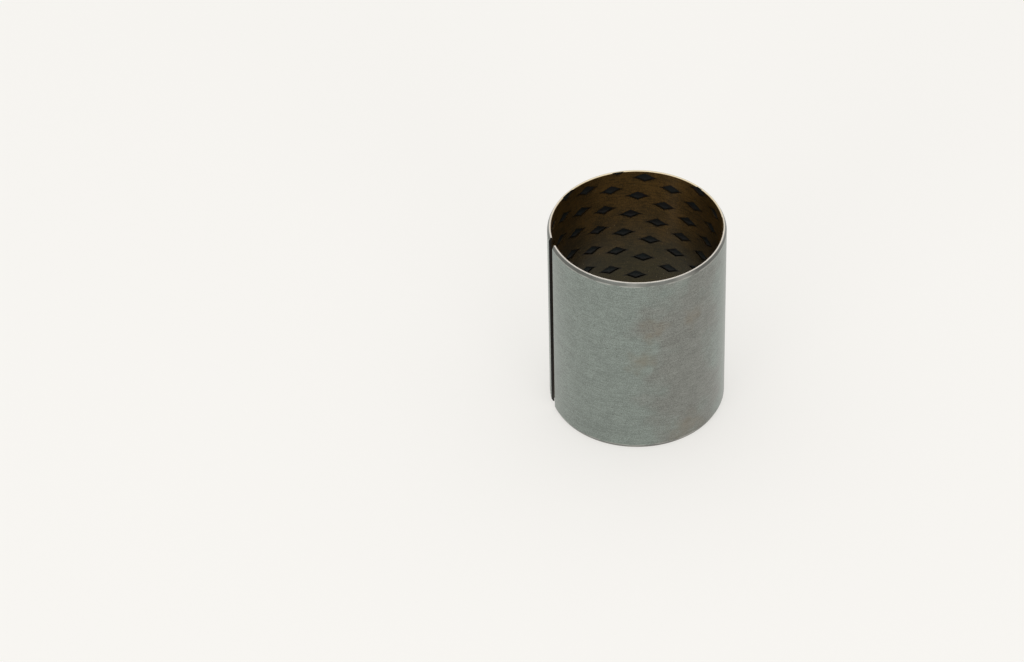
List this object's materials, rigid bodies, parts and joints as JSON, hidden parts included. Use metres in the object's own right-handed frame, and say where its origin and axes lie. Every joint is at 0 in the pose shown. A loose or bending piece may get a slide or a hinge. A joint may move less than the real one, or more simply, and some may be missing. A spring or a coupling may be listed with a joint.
{
  "type": "graphite plugged bushing",
  "caption": "Wrapped plain bearing bushing: an open-seamed steel ring lined with bronze, with diamond graphite plugs in its bore that lubricate a shaft.",
  "frame": {"origin": "on the bore axis, in the lower end face", "axes": "+Z along the bore axis; +X from the axis to the middle of the wall opposite the seam, so the seam is centred on -X"},
  "size_m": [0.049, 0.049, 0.06],
  "materials": {
    "steel": "matte grey rolled and tumbled steel with faint speckle",
    "bronze": "dark satin sintered bronze, brighter where it was faced",
    "graphite": "near-black graphite with a soft sheen"
  },
  "bodies": {
    "root": {"steel_backing": "steel", "bronze_lining": "bronze", "graphite_column_anticlockwise_01": "graphite", "graphite_column_anticlockwise_02": "graphite", "graphite_column_anticlockwise_03": "graphite", "graphite_column_anticlockwise_04": "graphite", "graphite_column_anticlockwise_05": "graphite", "graphite_column_anticlockwise_06": "graphite", "graphite_column_anticlockwise_07": "graphite", "graphite_column_anticlockwise_08": "graphite", "graphite_column_clockwise_01": "graphite", "graphite_column_clockwise_02": "graphite", "graphite_column_clockwise_03": "graphite", "graphite_column_clockwise_04": "graphite", "graphite_column_clockwise_05": "graphite", "graphite_column_clockwise_06": "graphite", "graphite_column_clockwise_07": "graphite", "graphite_column_clockwise_08": "graphite", "graphite_column_clockwise_09": "graphite", "graphite_column_clockwise_10": "graphite", "graphite_column_clockwise_11": "graphite", "graphite_column_middle": "graphite"}
  },
  "joints": []
}
